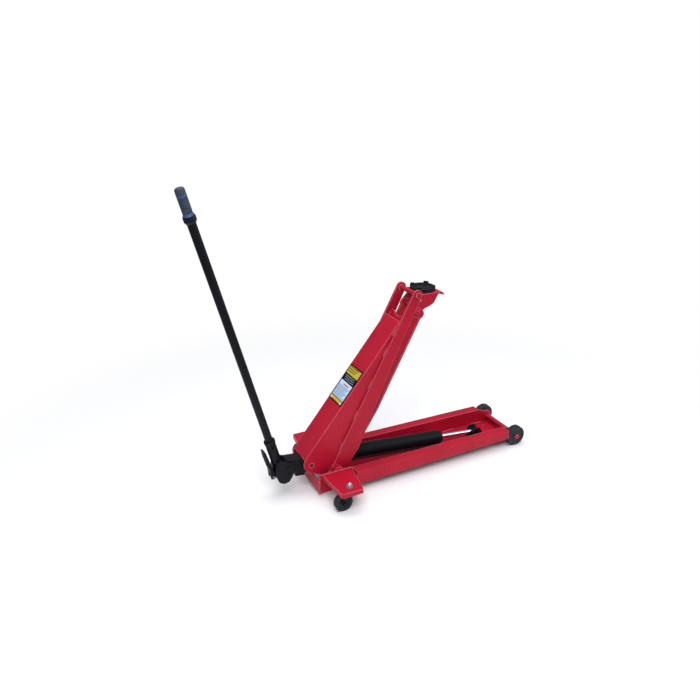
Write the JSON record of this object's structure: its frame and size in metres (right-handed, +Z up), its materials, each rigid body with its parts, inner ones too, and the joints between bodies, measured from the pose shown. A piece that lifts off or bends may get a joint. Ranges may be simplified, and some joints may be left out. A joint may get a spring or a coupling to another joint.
{
  "type": "hydraulic trolley jack",
  "caption": "Long-chassis hydraulic trolley jack: wheeled channel frame, high-reach lift arm with levelling links, turning saddle, ram unit and upright pump handle.",
  "frame": {"origin": "on the ground at the bottom centre of the whole box, arm and handle raised", "axes": "+X from the handle end towards the front axle, +Y to the jack's left, +Z up"},
  "size_m": [1.4116, 0.49, 1.2068],
  "materials": {
    "red_enamel": "gloss crimson enamel",
    "black_enamel": "satin bluish-black enamel",
    "cast_black": "black painted casting",
    "zinc": "bright zinc plate",
    "chrome": "ground and chromed rod",
    "steel": "plain steel pins",
    "wheel_black": "black cast wheel",
    "grip": "slate-blue grip",
    "caster_tread": "dark solid tread"
  },
  "bodies": {
    "frame": {"rail_left": "red_enamel", "rail_right": "red_enamel", "caster_wing_left": "red_enamel", "caster_wing_right": "red_enamel", "floor_plate": "red_enamel", "rear_plate": "red_enamel", "caster_kingpins": "zinc", "front_axle": "red_enamel", "front_wheel_spacers": "steel", "front_hub_caps": "red_enamel", "arm_pivot_pins": "steel", "link_pivot_pins": "steel", "anchor_bracket": "black_enamel", "anchor_bolts": "steel"},
    "front_wheel_l": {"front_wheel_left": "wheel_black"},
    "front_wheel_r": {"front_wheel_right": "wheel_black"},
    "caster_l": {"caster_fork_left": "black_enamel", "caster_axle_left": "black_enamel"},
    "caster_r": {"caster_fork_right": "black_enamel", "caster_axle_right": "black_enamel"},
    "caster_wheel_l": {"caster_wheel_left": "caster_tread"},
    "caster_wheel_r": {"caster_wheel_right": "caster_tread"},
    "arm": {"arm_cheek_left": "red_enamel", "arm_cheek_right": "red_enamel", "arm_web": "red_enamel", "hood": "red_enamel", "crank_pin": "red_enamel", "head_pin": "red_enamel"},
    "links": {"link_left": "red_enamel", "link_right": "red_enamel", "link_top_pin": "red_enamel"},
    "head": {"head_bracket": "red_enamel"},
    "saddle": {"saddle_pad": "cast_black", "saddle_clip": "steel"},
    "unit": {"pump_block": "cast_black", "cylinder_tube": "black_enamel", "gland_nut": "black_enamel", "oil_pipe": "black_enamel", "banjo_bolt": "zinc", "filler_plug": "cast_black", "valve_plugs": "cast_black"},
    "ram": {"piston": "chrome", "piston_rod": "chrome", "rod_eye": "black_enamel", "anchor_pin": "black_enamel"},
    "plunger": {"pump_plunger": "steel"},
    "socket": {"handle_socket": "black_enamel", "socket_pin": "black_enamel", "heel_roller": "black_enamel", "clamp_screw": "black_enamel", "pedal_pin": "steel"},
    "handle": {"handle_tube": "black_enamel", "handle_grip": "grip", "handle_collar": "black_enamel"},
    "pedal": {"foot_pedal": "black_enamel"}
  },
  "joints": [
    {"name": "front_wheel_spin_l", "type": "hinge", "parent": "frame", "child": "front_wheel_l", "pos_m": [0.66109, 0.113, 0.0447], "axis": [0, 1, 0], "continuous": true},
    {"name": "caster_swivel_l", "type": "hinge", "parent": "frame", "child": "caster_l", "pos_m": [-0.20791, 0.207, 0.06], "axis": [0, 0, 1], "continuous": true},
    {"name": "caster_spin_l", "type": "hinge", "parent": "caster_l", "child": "caster_wheel_l", "pos_m": [-0.23491, 0.207, 0.0366], "axis": [0, 1, 0], "continuous": true},
    {"name": "front_wheel_spin_r", "type": "hinge", "parent": "frame", "child": "front_wheel_r", "pos_m": [0.66109, -0.113, 0.0447], "axis": [0, 1, 0], "continuous": true},
    {"name": "caster_swivel_r", "type": "hinge", "parent": "frame", "child": "caster_r", "pos_m": [-0.20791, -0.207, 0.06], "axis": [0, 0, 1], "continuous": true},
    {"name": "caster_spin_r", "type": "hinge", "parent": "caster_r", "child": "caster_wheel_r", "pos_m": [-0.23491, -0.207, 0.0366], "axis": [0, 1, 0], "continuous": true},
    {"name": "arm_lift", "type": "hinge", "parent": "frame", "child": "arm", "pos_m": [-0.19291, 0, 0.086], "axis": [0, -1, 0], "range_deg": [-56, 1]},
    {"name": "link_swing", "type": "hinge", "parent": "frame", "child": "links", "pos_m": [-0.18291, 0, 0.026], "axis": [0, -1, 0], "range_deg": [-58, 3]},
    {"name": "head_level", "type": "hinge", "parent": "arm", "child": "head", "pos_m": [0.15129, 0, 0.75573], "axis": [0, -1, 0], "range_deg": [-3, 58]},
    {"name": "saddle_spin", "type": "hinge", "parent": "head", "child": "saddle", "pos_m": [0.21208, 0, 0.75263], "axis": [0, 0, 1], "continuous": true},
    {"name": "unit_swing", "type": "hinge", "parent": "arm", "child": "unit", "pos_m": [-0.29691, 0, 0.126], "axis": [0, -1, 0], "range_deg": [-2, 51]},
    {"name": "ram_stroke", "type": "slide", "parent": "unit", "child": "ram", "axis": [0.9947, 0, -0.1025], "range_m": [-0.0635, 0.002]},
    {"name": "handle_pump", "type": "hinge", "parent": "unit", "child": "socket", "pos_m": [-0.37792, 0, 0.12027], "axis": [0, -1, 0], "range_deg": [0, 45]},
    {"name": "plunger_stroke", "type": "slide", "parent": "unit", "child": "plunger", "axis": [0.9947, 0, -0.1025], "range_m": [0, 0.0225]},
    {"name": "handle_twist", "type": "hinge", "parent": "socket", "child": "handle", "pos_m": [-0.41891, 0, 0.143], "axis": [-0.2487, 0, 0.9686], "range_deg": [-180, 180]},
    {"name": "pedal_fold", "type": "hinge", "parent": "socket", "child": "pedal", "pos_m": [-0.43992, 0, 0.09027], "axis": [0, -1, 0], "range_deg": [0, 70], "stiffness_Nm_per_rad": 1.5, "springref_deg": -17.19}
  ],
  "couplings": [
    {"joint": "link_swing", "follows": "arm_lift", "ratio": 1},
    {"joint": "head_level", "follows": "arm_lift", "ratio": -1},
    {"joint": "unit_swing", "follows": "arm_lift", "ratio": -0.8916},
    {"joint": "ram_stroke", "follows": "arm_lift", "m_per_rad": 0.0632},
    {"joint": "plunger_stroke", "follows": "handle_pump", "m_per_rad": 0.028}
  ]
}
